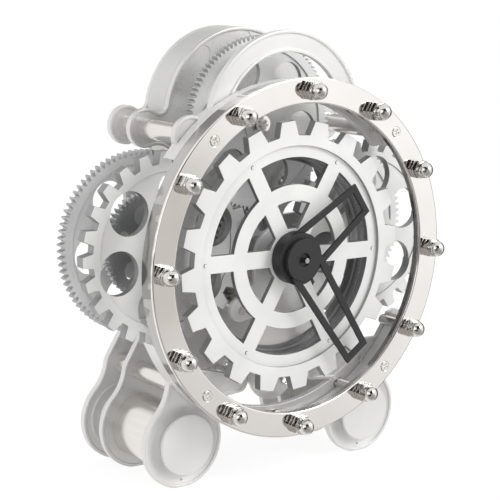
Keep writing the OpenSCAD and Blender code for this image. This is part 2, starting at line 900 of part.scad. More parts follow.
module coarse_wheel(c, phase) {
    web_r = cog_root_r - cog_rim;
    hub_w = 6;
    dish = 0.8;
    color(pale) place() difference() {
        slab(cog_d, cog_t) translate(c) difference() {
            polygon(cog_points(cog_teeth, cog_root_r, cog_tip_r, cog_root_w, cog_tip_w, phase));
            circle(wheel_pipe_r + fixed_fit);
            round_holes([0, 0], hole_count, hole_ring, hole_r, 20);
        }
        for (cut = [cog_d - 1, cog_d + cog_t - dish]) pipe(c, cut, 1 + dish, web_r, wheel_pipe_r + hub_w);
    }
}

module small_gear(c) {
    color(dark) place() slab(small_d, small_t) translate(c) difference() {
        polygon(gear_points(small_teeth, small_module, 0));
        circle(wheel_pipe_r + fixed_fit);
        round_holes([0, 0], hole_count, small_hole_ring, small_hole_r, 50);
    }
}

module fine_gear(c, d, n, m, phase, holes_at) {
    rim = n * m / 2 - gear_rim;
    hub_w = 5;
    dish = 1;
    color(silver) place() difference() {
        slab(d, gear_t) translate(c) difference() {
            polygon(gear_points(n, m, phase));
            circle(wheel_pipe_r + fixed_fit);
            round_holes([0, 0], hole_count, rim - hole_r, hole_r - 1.5, holes_at);
        }
        for (cut = [d - 1, d + gear_t - dish]) pipe(c, cut, 1 + dish, rim, wheel_pipe_r + hub_w);
    }
}

module wheel_pipe(c, front) {
    color(grey) place() pipe(c, front, pipe_end - front, wheel_pipe_r, stub_r + run_fit);
}

left_phase = meshed(180 - side_rise, side_drive_teeth, 0, side_teeth);
right_phase = meshed(side_rise, side_drive_teeth, 0, side_teeth);
top_phase = meshed(90, top_drive_teeth, 0, top_teeth);

module left_coarse_wheel() coarse_wheel(left_c, cog_phase);
module right_coarse_wheel() coarse_wheel(right_c, 180 - cog_phase);
module left_small_gear() small_gear(left_c);
module right_small_gear() small_gear(right_c);
module left_fine_gear() fine_gear(left_c, side_gear_d, side_teeth, side_module, left_phase, 10);
module right_fine_gear() fine_gear(right_c, side_gear_d, side_teeth, side_module, right_phase, 170);
module top_fine_gear() fine_gear(lobe_c, top_gear_d, top_teeth, top_module, top_phase, 52);
module left_pipe() wheel_pipe(left_c, side_arbor_d + end_gap);
module right_pipe() wheel_pipe(right_c, side_arbor_d + end_gap);
module top_pipe() wheel_pipe(lobe_c, top_arbor_d + end_gap);

// Hands and their shafts

// Open frame of two bars that close in towards a square end
module hand_outline(base, half_base, length, half_tip) {
    slope = (half_base - half_tip) / (length - base);
    difference() {
        polygon([[base, -half_base], [length, -half_tip], [length, half_tip], [base, half_base]]);
        polygon([for (v = [[base - 1, -1], [length - bar_w, -1], [length - bar_w, 1], [base - 1, 1]])
            [v[0], v[1] * (half_base - slope * (v[0] - base) - bar_w)]]);
    }
}

module minute_hand() {
    recess_t = 1.5;
    recess_r = 3.9;
    base = 4;
    color(black) place() difference() {
        union() {
            slab(minute_hand_d, hand_t) rotate(minute_dir)
                hand_outline(base, minute_hub_r, minute_len, minute_tip);
            rod([0, 0], minute_hub_d, minute_hub_t, minute_hub_r);
        }
        bore([0, 0], minute_hub_d, hour_hub_d, arbor_r + fixed_fit);
        rod([0, 0], minute_hub_d - 1, 1 + recess_t, recess_r);
    }
}

module minute_arbor() {
    front = minute_hub_d - arbor_tip;
    color(chrome) place() rod([0, 0], front, minute_wheel_d + motion_t + 1 - front, arbor_r);
}

module cannon_pinion() {
    color(brass) place() slab(minute_wheel_d - pinion_over, motion_t + 2 * pinion_over) difference() {
        polygon(gear_points(cannon_teeth, cannon_module, 0));
        circle(arbor_r + fixed_fit);
    }
}

module hour_hand() {
    base = 5;
    half_base = hour_hub_r - 0.7;
    color(black) place() slab(hour_hand_d, hand_t) difference() {
        rotate(hour_dir) hand_outline(base, half_base, hour_len, hour_tip);
        circle(hour_hub_r + fixed_fit);
    }
}

module hour_hub() {
    color(black) place() difference() {
        rod([0, 0], hour_hub_d, hour_hub_back - hour_hub_d, hour_hub_r);
        bore([0, 0], hour_hub_d, hour_hub_back, hour_pipe_r + fixed_fit);
    }
}

module hour_pipe() {
    length = hour_wheel_d + motion_t - hour_hub_d;
    color(grey) place() pipe([0, 0], hour_hub_d, length, hour_pipe_r, arbor_r + run_fit);
}

module hour_wheel() {
    color(brass) place() slab(hour_wheel_d, motion_t) difference() {
        polygon(gear_points(hour_wheel_teeth, motion_module, 0));
        circle(hour_pipe_r + fixed_fit);
        round_holes([0, 0], 4, motion_hole_ring, motion_hole_r, 45);
    }
}

// Movement behind the mid plate

module minute_wheel() {
    phase = meshed(90, cannon_teeth, 0, minute_wheel_teeth);
    color(brass) place() slab(minute_wheel_d, motion_t) translate(motion_c) difference() {
        polygon(gear_points(minute_wheel_teeth, cannon_module, phase));
        circle(arbor_r + fixed_fit);
        round_holes([0, 0], 4, motion_hole_ring, motion_hole_r, 45);
    }
}

module motion_pinion() {
    phase = meshed(90, hour_wheel_teeth, 0, motion_pinion_teeth);
    front = hour_wheel_d - pinion_over;
    pivot_f = mid_b + end_gap;
    color(brass) place() {
        slab(front, motion_t + 2 * pinion_over) translate(motion_c)
            polygon(gear_points(motion_pinion_teeth, motion_module, phase));
        rod(motion_c, pivot_f, rear_b + knob_gap + knob_seat - pivot_f, arbor_r);
    }
}

module setting_knob() {
    ribs = 24;
    rib_h = 0.5;
    rib_foot = 1.1;
    rib_top = 0.7;
    color(black) place() difference() {
        slab(rear_b + knob_gap, knob_l) translate(motion_c)
            polygon(cog_points(ribs, knob_r - rib_h, knob_r, rib_foot, rib_top, 0));
        rod(motion_c, rear_b, knob_gap + knob_seat, arbor_r + fixed_fit);
    }
}

module case_outline(inset) {
    translate([-case_w / 2 + inset, -case_low + inset])
        square([case_w - 2 * inset, case_low + case_top - 2 * inset]);
}

module movement_case() {
    color(black) place() difference() {
        slab(mid_b, case_back - mid_b - case_wall) case_outline(0);
        slab(mid_b + case_wall, rear_gap) case_outline(case_wall);
        bore([0, 0], mid_b, mid_b + case_wall, flange_plate_r + 0.3);
        bore(motor_c, mid_b, mid_b + case_wall, motor_boss_r + fixed_fit);
        bore(motion_c, mid_b, mid_b + case_wall, arbor_r + run_fit);
    }
}

module movement_cover() {
    boss_f = case_back - case_wall - 2;
    color(black) place() difference() {
        union() {
            slab(case_back - case_wall, case_wall) case_outline(0);
            slab(case_back - case_wall - cover_rim, cover_rim + eps) difference() {
                case_outline(case_wall + fixed_fit);
                case_outline(case_wall + fixed_fit + cover_rim);
            }
            rod(motion_c, boss_f, case_back - boss_f, arbor_r + 2);
        }
        bore(motion_c, boss_f, case_back, arbor_r + run_fit);
    }
}

module drive_motor() {
    body_d = mid_b + case_wall;
    color(grey) place() difference() {
        union() {
            rod(motor_c, body_d, case_back - case_wall - body_d, motor_r);
            rod(motor_c, mid_b, case_wall + eps, motor_boss_r);
        }
        rod(motor_c, mid_b - 1, motor_bore + 1, arbor_r + run_fit);
    }
}

module motor_pinion() {
    phase = meshed(-90, side_drive_teeth, 0, pinion_teeth);
    color(brass) place() {
        slab(side_gear_d, gear_t) translate(motor_c) polygon(gear_points(pinion_teeth, side_module, phase));
        rod(motor_c, pipe_end - 1 - eps, mid_b + motor_bore - 2 * end_gap - pipe_end + 1, arbor_r);
    }
}

// Power

cell_pitch = 2 * cell_r + 1.4;
cell_d = mid_b + flange_plate_t + cell_r + 0.2;
cell_rise = 4;
cell_places = [for (i = [-1 : 1]) drum_c + [0, cell_rise + i * cell_pitch]];

module cell(c) {
    nub_r = 2.6;
    nub_h = 1.2;
    translate([c[0] - cell_l / 2, cell_d, c[1]]) rotate([0, 90, 0]) {
        cylinder(h = cell_l - nub_h, r = cell_r);
        cylinder(h = cell_l, r = nub_r);
    }
}

module cells() {
    color(dark) place() for (c = cell_places) cell(c);
}

module battery_contacts() {
    contact_t = 0.5;
    contact_w = 9;
    color(chrome) place() for (c = cell_places, s = [-1, 1]) {
        slab(mid_b, cell_d + contact_w / 2 - mid_b) translate([c[0] + s * (cell_l + contact_t) / 2, c[1]])
            square([contact_t, contact_w], center = true);
    }
}

module battery_door() {
    rib_t = 1;
    rib_size = [16, 1.4];
    rib_pitch = 4;
    color(silver) place() {
        rod(drum_c, rear_f + end_gap, plate_t - end_gap, door_r);
        for (i = [-1 : 1]) {
            slab(rear_b - eps, rib_t + eps) translate(drum_c + [0, door_r * 0.6 + i * rib_pitch])
                square(rib_size, center = true);
        }
    }
}

bezel_ring();
bezel_band();
bezel_nuts();
bezel_screws();
front_casting();
mid_plate();
rear_plate();
drum_housing();
battery_door();
cells();
battery_contacts();
upper_left_pillar();
upper_right_pillar();
lower_left_pillar();
lower_right_pillar();
rear_spacers();
front_plate_screws();
rear_plate_screws();
left_foot_barrel();
right_foot_barrel();
left_foot_cap();
right_foot_cap();
front_bridge();
bridge_posts();
bridge_screws();
centre_tube();
left_stub_arbor();
right_stub_arbor();
top_stub_arbor();
arbor_screws();
centre_wheel();
spoked_wheel();
spoke_pins();
drive_pipe();
top_drive_gear();
side_drive_gear();
left_coarse_wheel();
left_small_gear();
left_fine_gear();
left_pipe();
right_coarse_wheel();
right_small_gear();
right_fine_gear();
right_pipe();
top_fine_gear();
top_pipe();
minute_hand();
minute_arbor();
cannon_pinion();
hour_hand();
hour_hub();
hour_pipe();
hour_wheel();
minute_wheel();
motion_pinion();
setting_knob();
movement_case();
movement_cover();
drive_motor();
motor_pinion();
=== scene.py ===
# %% [markdown]
# A table clock whose wheels are left open to view: a polished ring, a cast frame with silver lacquer, pale
# toothed wheels and black hands. The working shapes come from the construction model, which is loaded as a
# fixed frame. This lesson gives those shapes their edges, small hardware and finishes, and photographs them
# in a studio.

# %% Load the frame
import json
import math

import bmesh
import bpy
import numpy as np
from mathutils import Matrix, Vector

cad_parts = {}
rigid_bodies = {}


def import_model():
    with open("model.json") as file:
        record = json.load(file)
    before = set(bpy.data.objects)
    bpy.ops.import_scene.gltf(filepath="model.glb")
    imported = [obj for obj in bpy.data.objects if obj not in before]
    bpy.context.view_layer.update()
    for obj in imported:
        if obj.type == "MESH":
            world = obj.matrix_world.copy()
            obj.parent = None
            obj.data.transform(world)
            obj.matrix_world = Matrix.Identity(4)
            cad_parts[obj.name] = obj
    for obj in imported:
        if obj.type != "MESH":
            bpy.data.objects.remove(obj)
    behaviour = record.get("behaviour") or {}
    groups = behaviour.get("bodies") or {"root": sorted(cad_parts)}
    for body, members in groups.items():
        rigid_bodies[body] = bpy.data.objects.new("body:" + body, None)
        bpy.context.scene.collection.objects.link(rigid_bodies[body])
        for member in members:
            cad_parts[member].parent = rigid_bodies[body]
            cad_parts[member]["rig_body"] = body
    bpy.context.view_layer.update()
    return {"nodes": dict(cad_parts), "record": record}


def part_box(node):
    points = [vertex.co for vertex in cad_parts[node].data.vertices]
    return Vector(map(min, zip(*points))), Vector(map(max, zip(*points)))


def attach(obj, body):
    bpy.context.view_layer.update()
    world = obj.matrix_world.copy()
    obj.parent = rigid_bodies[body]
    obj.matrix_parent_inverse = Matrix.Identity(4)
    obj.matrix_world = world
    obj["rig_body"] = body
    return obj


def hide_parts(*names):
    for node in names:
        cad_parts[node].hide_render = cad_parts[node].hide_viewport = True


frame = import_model()
NODES = frame["nodes"]
MM = 0.001

# %% [markdown]
# Colours are easiest to judge as the hex codes of a screen, but the renderer counts light in linear steps.
# One function turns the first into the second, and nothing else in the file converts a colour.

# %% Colours
def paint(code):
    """A screen colour such as #d6cfcb as the linear colour that the shaders use."""
    channels = [int(code[i:i + 2], 16) / 255 for i in (1, 3, 5)]
    linear = [c / 12.92 if c <= 0.04045 else ((c + 0.055) / 1.055) ** 2.4 for c in channels]
    return (*linear, 1.0)


WHITE = paint("#ffffff")
print("mid grey is", [round(c, 3) for c in paint("#808080")])

# %% [markdown]
# A material is a small graph. Adding a node always means the same three things: make it, set its options,
# and feed its inputs with a value or with another node's output. One helper does that, so that each material
# below reads as a list of what it is made of. An input is called by its name. Where a node has several of one
# name, the name means the first, and the others are called by their numbers. Those of the two colours and the
# result of a Mix node are named here.

# %% Adding a node
MIX_UNDER, MIX_OVER, MIX_RESULT = 6, 7, 2


def feed(tree, node, feeds):
    """Feeds a node's inputs, by name or number, with values or with other nodes' outputs."""
    for key, value in feeds.items():
        if isinstance(value, bpy.types.NodeSocket):
            tree.links.new(value, node.inputs[key])
        else:
            node.inputs[key].default_value = value


def add(tree, kind, feeds=None, stops=(), **options):
    """Adds a node with its options and feeds, and a colour ramp with its stops, pairs of place and colour."""
    node = tree.nodes.new("ShaderNode" + kind)
    for option, value in options.items():
        setattr(node, option, value)
    for number, (place, code) in enumerate(stops):
        node.color_ramp.elements[number].position = place
        node.color_ramp.elements[number].color = paint(code)
    feed(tree, node, feeds or {})
    return node


def new_material(name):
    """An empty material, its node tree and its surface shader."""
    material = bpy.data.materials.new(name)
    material.use_nodes = True
    tree = material.node_tree
    return material, tree, tree.nodes["Principled BSDF"]


# %% [markdown]
# The photograph was taken from the front left of the clock and slightly above it, with a long lens, which
# keeps the round ring close to a true ellipse. The camera stands 830 mm from a point in the plane of the
# ring's face. A long lens far away flattens the depth, a short one near by would swell the nuts in front.

# %% Camera
AZIMUTH = math.radians(-37.51)
ELEVATION = math.radians(10.19)
ROLL = math.radians(1.91)
DISTANCE = 830 * MM
AIM_LEFT = 38.0 * MM
AIM_UP = 8.8 * MM
LENS_MM = 112.3
SENSOR_MM = 36
FARTHEST_SEEN = 20


def put(name, data):
    """A new object that shows a mesh, lamp or camera, linked into the scene."""
    thing = bpy.data.objects.new(name, data)
    bpy.context.scene.collection.objects.link(thing)
    return thing


ring_low, ring_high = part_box("bezel_ring")
RING_CENTRE = (ring_low + ring_high) / 2
RING_FACE_Y = ring_low.y
aim = Vector((RING_CENTRE.x - AIM_LEFT, RING_FACE_Y, RING_CENTRE.z + AIM_UP))
back = Vector((math.sin(AZIMUTH) * math.cos(ELEVATION), -math.cos(AZIMUTH) * math.cos(ELEVATION),
               math.sin(ELEVATION)))
right = Vector((0, 0, 1)).cross(back).normalized()
up = back.cross(right)
turned_right = math.cos(ROLL) * right + math.sin(ROLL) * up
turned_up = back.cross(turned_right)
camera = put("camera", bpy.data.cameras.new("camera"))
camera.data.lens = LENS_MM
camera.data.sensor_width = SENSOR_MM
camera.data.clip_end = FARTHEST_SEEN
camera.matrix_world = Matrix.Translation(aim + back * DISTANCE) @ Matrix(
    (turned_right, turned_up, back)).transposed().to_4x4()
bpy.context.scene.camera = camera
bpy.context.scene.view_settings.view_transform = "Standard"
print("camera at", [round(v, 3) for v in camera.location])

# %% [markdown]
# A catalogue picture of bright metal is mostly a picture of the room round it. The room here is a white tent.
# Its cloth is brightest at the right and above and goes grey at the left and low down, so a flat mirror face
# shows a slow change of tone. Sheets hang before the cloth: a plain pale one behind the clock, a grey one
# high above that, a small grey one low in front, which the ring's face mirrors at its left, and four dark
# flags, one at the right and three at the left and in front. Without the flags a polished nut is a white
# blob: they give facets, domes and broken edges their dark side. Each sheet is a round patch of directions
# with a soft edge. Only mirrored light sees all this. The camera sees plain white behind the clock, and dull
# surfaces get an even light from every side.

# %% White tent with sheets and flags
TENT_LIGHT = 0.68
SHEETS = {
    "grey, small, low in front": ((0.55, -0.82, -0.175), 0.9965, 0.9995, "#c9c5c2"),
    "pale, behind": ((0.0, 1.0, 0.0), -0.35, 0.15, "#f6f5f4"),
    "grey, high behind": ((0.25, 0.78, 0.55), 0.90, 0.97, "#a5a4a2"),
    "black, right": ((0.93, 0.30, -0.15), 0.80, 0.90, "#161617"),
    "dark, left": ((-0.72, -0.68, -0.12), 0.91, 0.96, "#3f3e3e"),
    "black, high in front": ((-0.30, -0.78, 0.55), 0.90, 0.95, "#1c1c1c"),
    "black, high left": ((-0.71, -0.50, 0.50), 0.93, 0.97, "#1c1c1c"),
}
world = bpy.data.worlds.new("white_tent")
bpy.context.scene.world = world
world.use_nodes = True
tent = world.node_tree
tent.nodes.clear()
direction = add(tent, "TexCoord").outputs["Generated"]


def facing(toward, start, full):
    """How far a direction lies inside a round patch of the room: 0 at the cosine start, 1 at full."""
    cosine = add(tent, "VectorMath", {0: direction, 1: Vector(toward).normalized()}, operation="DOT_PRODUCT")
    return add(tent, "MapRange", {"Value": cosine.outputs["Value"], "From Min": start,
                                  "From Max": full}).outputs[0]


bright_side = facing((0.70, 0.0, 0.71), 0.02, 0.40)
cloth = add(tent, "ValToRGB", {"Fac": bright_side}, stops=[(0.0, "#adaaa7"), (1.0, "#ffffff")]).outputs[0]
for toward, start, full, colour in SHEETS.values():
    patch = facing(toward, start, full)
    cloth = add(tent, "Mix", {"Factor": patch, MIX_UNDER: cloth, MIX_OVER: paint(colour)},
                data_type="RGBA").outputs[MIX_RESULT]
rays = add(tent, "LightPath").outputs
mirrored = add(tent, "Math", {0: rays["Is Glossy Ray"], 1: rays["Is Transmission Ray"]}, operation="MAXIMUM")
seen = add(tent, "Mix", {"Factor": rays["Is Camera Ray"], MIX_UNDER: cloth, MIX_OVER: WHITE},
           data_type="RGBA")
show = add(tent, "Math", {0: mirrored.outputs[0], 1: rays["Is Camera Ray"]}, operation="MAXIMUM")
dull = add(tent, "Background", {"Color": WHITE, "Strength": TENT_LIGHT})
bright = add(tent, "Background", {"Color": seen.outputs[MIX_RESULT], "Strength": 1.0})
mixed = add(tent, "MixShader", {"Fac": show.outputs[0], 1: dull.outputs[0], 2: bright.outputs[0]})
add(tent, "OutputWorld", {"Surface": mixed.outputs[0]})
print("tent light", TENT_LIGHT, "sheets:", list(SHEETS))

# %% [markdown]
# Two soft boxes shape the clock. The large one stands in front, above and a little to the right, so plates
# and wheels are pale in front, the ring throws a soft shadow on what stands behind it at the left, and the
# walls of the wheel teeth that the camera sees stay grey. A weak one from the left opens the shadows. Their
# places and sides are in metres.

# %% Soft boxes
def soft_box(name, place, side, watts):
    """A square area lamp that looks at the ring."""
    lamp = bpy.data.lights.new(name, "AREA")
    lamp.size = side
    lamp.energy = watts
    box = put(name, lamp)
    box.location = place
    box.rotation_euler = (Vector(place) - RING_CENTRE).to_track_quat("Z", "Y").to_euler()


soft_box("key_box", (0.80, -1.10, 0.95), 0.6, 9.0)
soft_box("fill_box", (-1.1, -0.6, 0.5), 0.8, 2.5)
print("soft boxes:", len(bpy.data.lights))

# %% [markdown]
# The floor is a sheet of matt white card that sweeps away to the back. It carries the soft shadow that keeps
# the feet on the ground. For the camera a share of plain white is mixed in, as an overexposed card has, so
# the shadow stays and the rest goes clean white. In the metal the tent's own gradient stands for the card.
# Its fibres are far too fine to show, so its tone drifts a hair in spots of 44 mm, 900 along a side. It lies
# a touch below the feet, because two faces in one plane flicker.

# %% Floor
FLOOR_SIDE = 40.0
FLOOR_DROP = 0.2 * MM
CARD_SPOTS = 900
CARD_WHITE = 0.8
CARD_GLOW = 1.1
card, card_tree, card_shader = new_material("matt_white_card")
fibre = add(card_tree, "TexNoise", {"Scale": CARD_SPOTS, "Detail": 2.0})
card_shade = add(card_tree, "ValToRGB", {"Fac": fibre.outputs[0]}, stops=[(0.0, "#fbfbfb"), (1.0, "#ffffff")])
feed(card_tree, card_shader, {"Base Color": card_shade.outputs[0], "Roughness": 0.9,
                              "Specular IOR Level": 0.2})
card_rays = add(card_tree, "LightPath").outputs
white_share = add(card_tree, "Math", {0: card_rays["Is Camera Ray"], 1: CARD_WHITE}, operation="MULTIPLY")
glow = add(card_tree, "Emission", {"Color": WHITE, "Strength": CARD_GLOW})
card_mix = add(card_tree, "MixShader", {"Fac": white_share.outputs[0], 1: card_shader.outputs[0],
                                        2: glow.outputs[0]})
feed(card_tree, card_tree.nodes["Material Output"], {"Surface": card_mix.outputs[0]})
half = FLOOR_SIDE / 2
floor_mesh = bpy.data.meshes.new("floor")
floor_mesh.from_pydata([(-half, -half, 0), (half, -half, 0), (half, half, 0), (-half, half, 0)], [],
                       [(0, 1, 2, 3)])
floor_mesh.materials.append(card)
floor = put("floor", floor_mesh)
floor.location.z = -FLOOR_DROP
floor.visible_glossy = False
print("floor", FLOOR_SIDE, "m wide")

# %% [markdown]
# Every cut, cast or stamped edge is broken a little, and that narrow round is what catches the light.
# Blender's own bevel tears the long triangles of a construction model, so the rounding is done by hand here.
# Round a corner of the mesh, sharp edges part the faces into smooth fans. Each fan's own copy of the corner
# is pushed away from its sharp edges, and strips close the gaps. The first step finds the fans and their
# push. A very pointed corner would be pushed too far, so the opening it counts with has a least value.

# %% Fans round a corner
SHARP_ANGLE = math.radians(20)
LEAST_OPENING = 0.4
MM2_IN_M2 = 1e6


def fans_of(corner, sharp):
    """The faces round a corner, in groups that no sharp edge divides."""
    fan_of = {face: {face} for face in corner.link_faces}
    for edge in corner.link_edges:
        if edge not in sharp and len(edge.link_faces) == 2:
            one, two = edge.link_faces
            if fan_of[one] is not fan_of[two]:
                fan = fan_of[one] | fan_of[two]
                fan_of.update({face: fan for face in fan})
    return list({id(fan): fan for fan in fan_of.values()}.values())


def push_of(corner, fan, sharp):
    """The step, for a rounding of width 1, that takes a fan's corner away from the fan's sharp edges."""
    inward = []
    for edge in corner.link_edges:
        if edge in sharp:
            along = (edge.other_vert(corner).co - corner.co).normalized()
            for face in edge.link_faces:
                if face in fan:
                    across = face.calc_center_median() - corner.co
                    inward.append((across - along * across.dot(along)).normalized())
    if len(inward) != 2:
        return Vector()
    return (inward[0] + inward[1]) / max(1 + inward[0].dot(inward[1]), LEAST_OPENING)


def normal_of(corner, fan):
    """The fan's smooth normal at its corner, in which a large flat face counts for more than a narrow one."""
    total = Vector()
    for face in corner.link_faces:
        if face in fan:
            angle = next(loop.calc_angle() for loop in face.loops if loop.vert == corner)
            total += face.normal * angle * face.calc_area() * MM2_IN_M2
    return total.normalized()


print("edges sharper than", round(math.degrees(SHARP_ANGLE)), "degrees are rounded")

# %% [markdown]
# A narrow web or a screw slot has no room for the full rounding. So the pushed faces are tested: where one
# would turn over by more than a speck, its corners are pushed only half as far, and the test is made again,
# a few times at most. Before that, points that lie on each other are welded, because a face without area has
# no direction.

# %% Pushing the fans
WELD = 0.002 * MM
SPECK = 0.1 * MM
TRIES = 6


def welded(source):
    """A mesh as clean triangles for editing, and its sharp edges."""
    form = bmesh.new()
    form.from_mesh(source)
    bmesh.ops.remove_doubles(form, verts=form.verts, dist=WELD)
    bmesh.ops.dissolve_degenerate(form, edges=form.edges, dist=WELD)
    bmesh.ops.triangulate(form, faces=form.faces)
    form.verts.index_update()
    form.faces.index_update()
    return form, {edge for edge in form.edges if edge.is_manifold and edge.calc_face_angle() > SHARP_ANGLE}


def pushed_fans(form, sharp, width):
    """Places and normals of the pushed corners, the faces between them, and each face's point at a corner."""
    points, pushes, normals, owner, fan_at = [], [], [], [], {}
    for corner in form.verts:
        for fan in fans_of(corner, sharp):
            fan_at.update({(corner.index, face.index): len(points) for face in fan})
            points.append(corner.co.copy())
            pushes.append(push_of(corner, fan, sharp))
            normals.append(normal_of(corner, fan))
            owner.append(corner.index)
    faces = np.array([[fan_at[loop.vert.index, face.index] for loop in face.loops] for face in form.faces])
    flat = np.array([face.normal for face in form.faces])
    start, push, owner = np.array(points), np.array(pushes), np.array(owner)
    room = np.full(len(form.verts), width)
    for _ in range(TRIES):
        moved = start + push * room[owner][:, None]
        a, b, c = (moved[faces[:, i]] for i in range(3))
        turned = (np.cross(b - a, c - a) * flat).sum(axis=1)
        tight = turned < -2 * SPECK ** 2
        if not tight.any():
            break
        room[np.unique(owner[faces[tight]])] *= 0.5
    moved = start + push * room[owner][:, None]
    polygons = [list(f) if ok else list(f[::-1]) for f, ok in zip(faces, turned >= 0)]
    return [Vector(place) for place in moved], normals, polygons, fan_at


print("corners are tested", TRIES, "times at most")

# %% [markdown]
# Then strips are laid in two rows along each sharp edge, with a row of points between them on the round. For
# a round of a right angle such a point lies 0.414, the root of two less one, of the way from the chord to the
# old corner. Where three or more strips meet, one small face closes the corner. Each point keeps the normal
# of its own fan, so flat faces stay flat and only the strips turn through the corner.

# %% Rounding the edges
ROUND_SHARE = 0.414


def eased_mesh(name, source, width):
    """A copy of a mesh whose sharp edges are rounded by up to width, in metres."""
    form, sharp = welded(source)
    places, normals, polygons, fan_at = pushed_fans(form, sharp, width)
    middle, after = {}, {}

    def between(corner, one, two):
        """The point on the round between two fans of a corner."""
        if one == two:
            return one
        key = (min(one, two), max(one, two))
        if key not in middle:
            chord = (places[one] + places[two]) / 2
            middle[key] = len(places)
            places.append(chord + (corner.co - chord) * ROUND_SHARE)
            normals.append((normals[one] + normals[two]).normalized())
        return middle[key]

    sharp_loops = [loop for edge in form.edges if edge in sharp for loop in edge.link_loops]
    for loop in sharp_loops:
        face, other = loop.face, loop.link_loop_radial_next.face
        tail, head = loop.vert, loop.link_loop_next.vert
        here = [fan_at[v.index, face.index] for v in (head, tail)]
        there = [fan_at[v.index, other.index] for v in (tail, head)]
        mids = [between(tail, here[1], there[0]), between(head, here[0], there[1])]
        strip = list(dict.fromkeys([*here, *mids]))
        if len(strip) > 2:
            polygons.append(strip)
        if here[1] != there[0]:
            after[there[0]] = (mids[0], here[1])
    for first in list(after):
        ring, fan = [], first
        while fan in after:
            middle_point, following = after.pop(fan)
            ring += [fan, middle_point]
            fan = following
        if len(set(ring)) > 4:
            polygons.append(ring)
    form.free()
    mesh = bpy.data.meshes.new(name)
    mesh.from_pydata(places, [], polygons)
    mesh.polygons.foreach_set("use_smooth", [True] * len(mesh.polygons))
    mesh.normals_split_custom_set_from_vertices(normals)
    return mesh


print("a round keeps", ROUND_SHARE, "of the way to the old corner")

# %% [markdown]
# Some pieces need forms that the working shapes don't have. They are built from points, or cut by a boolean
# with a prism, and a boolean needs closed meshes whose faces look outwards. Their sizes are in millimetres,
# right of and above the main axis and behind the ring's face, because that is how they were measured. A
# boolean works on a copy of the node's mesh, so the working shape itself stays as it was.

# %% Closed meshes and cuts
ARC_STEPS = 96


def at(x, height, depth):
    """The place in the scene of a point that was measured from the main axis and the ring's face."""
    return RING_CENTRE.x + x * MM, RING_FACE_Y + depth * MM, RING_CENTRE.z + height * MM


def closed_mesh(points, faces):
    """A mesh from points and faces, with every face turned outwards."""
    mesh = bpy.data.meshes.new("closed")
    mesh.from_pydata(points, [], faces)
    form = bmesh.new()
    form.from_mesh(mesh)
    bmesh.ops.recalc_face_normals(form, faces=form.faces)
    form.to_mesh(mesh)
    form.free()
    return mesh


def arc(centre, radius, start=0.0, end=360.0):
    """Points along an arc, as pairs of x and height."""
    turns = [math.radians(start + (end - start) * i / ARC_STEPS) for i in range(ARC_STEPS)]
    return [(centre[0] + radius * math.cos(t), centre[1] + radius * math.sin(t)) for t in turns]


def prism(outline, front_depth, back_depth):
    """An object from an outline, between two depths behind the ring's face."""
    count = len(outline)
    points = [at(x, height, depth) for depth in (front_depth, back_depth) for x, height in outline]
    walls = [(i, (i + 1) % count, (i + 1) % count + count, i + count) for i in range(count)]
    ends = [tuple(range(count))[::-1], tuple(range(count, 2 * count))]
    return put("prism", closed_mesh(points, walls + ends))


def without(source, cutters):
    """A mesh without what lies inside the cutters."""
    blank = put("blank", source.copy())
    for cutter in cutters:
        cut = blank.modifiers.new("cut", "BOOLEAN")
        cut.operation = "DIFFERENCE"
        cut.solver = "EXACT"
        cut.object = cutter
    bpy.context.view_layer.update()
    mesh = bpy.data.meshes.new_from_object(blank.evaluated_get(bpy.context.evaluated_depsgraph_get()))
    bpy.data.objects.remove(blank)
    return mesh


print("a full arc has", ARC_STEPS, "points")

# %% [markdown]
# Three pieces are hollower than their plain working shapes. The big side wheels run close behind the band, so
# the front casting is scooped out round them and stops short of its full ring between them. The band is a
# thin tube with a deeper lip only at the front, where the studs of the dome nuts are screwed in. Studs that
# would cross a scoop end in that lip. Behind the band a skirt of the same width joins it to the casting. A
# prism that cuts right through runs a little past the face, so that no two faces lie in one plane.

# %% Scooped casting and hollow band
BAND_R = 97.8
BAND_WALL_R = 93.6
SKIRT_L = 6.6
LIP_BACK = 6.3
SCOOP_R = 51.0
RELIEF_HALF_HEIGHT = 56.0
RELIEF_INNER_X = 40.0
PAST = 1.0


def side_centre(node):
    """Where a side wheel's axis lies, in millimetres from the main axis."""
    low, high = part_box(node)
    middle = (low + high) / 2 - RING_CENTRE
    return middle.x / MM, middle.z / MM


wheel_axes = [side_centre("left_coarse_wheel"), side_centre("right_coarse_wheel")]
band_back = (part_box("bezel_band")[1].y - RING_FACE_Y) / MM
casting_end = (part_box("front_casting")[1].y - RING_FACE_Y) / MM + PAST
reach = math.degrees(math.asin(RELIEF_HALF_HEIGHT / BAND_WALL_R))
bow = arc((0, 0), BAND_WALL_R, -reach, reach) + [(RELIEF_INNER_X, RELIEF_HALF_HEIGHT),
                                                (RELIEF_INNER_X, -RELIEF_HALF_HEIGHT)]
scoops = [prism(arc(axis, SCOOP_R), band_back, casting_end) for axis in wheel_axes]
stud_ends = [prism(arc(axis, SCOOP_R), LIP_BACK, casting_end) for axis in wheel_axes]
reliefs = [prism([(side * x, height) for x, height in bow], band_back, casting_end) for side in (-1, 1)]
hollow = prism(arc((0, 0), BAND_WALL_R), LIP_BACK, band_back + PAST)
behind_band = prism(arc((0, 0), BAND_WALL_R), band_back - PAST, band_back + SKIRT_L)
skirt_blank = prism(arc((0, 0), BAND_R), band_back, band_back + SKIRT_L)
MESH_OF = {
    "front_casting": without(NODES["front_casting"].data, [behind_band, *scoops, *reliefs]),
    "bezel_band": without(NODES["bezel_band"].data, [hollow]),
    "bezel_nuts": without(NODES["bezel_nuts"].data, stud_ends),
}
skirt_mesh = without(skirt_blank.data, [behind_band, *scoops])
for cutter in [*scoops, *stud_ends, *reliefs, hollow, behind_band, skirt_blank]:
    bpy.data.objects.remove(cutter)
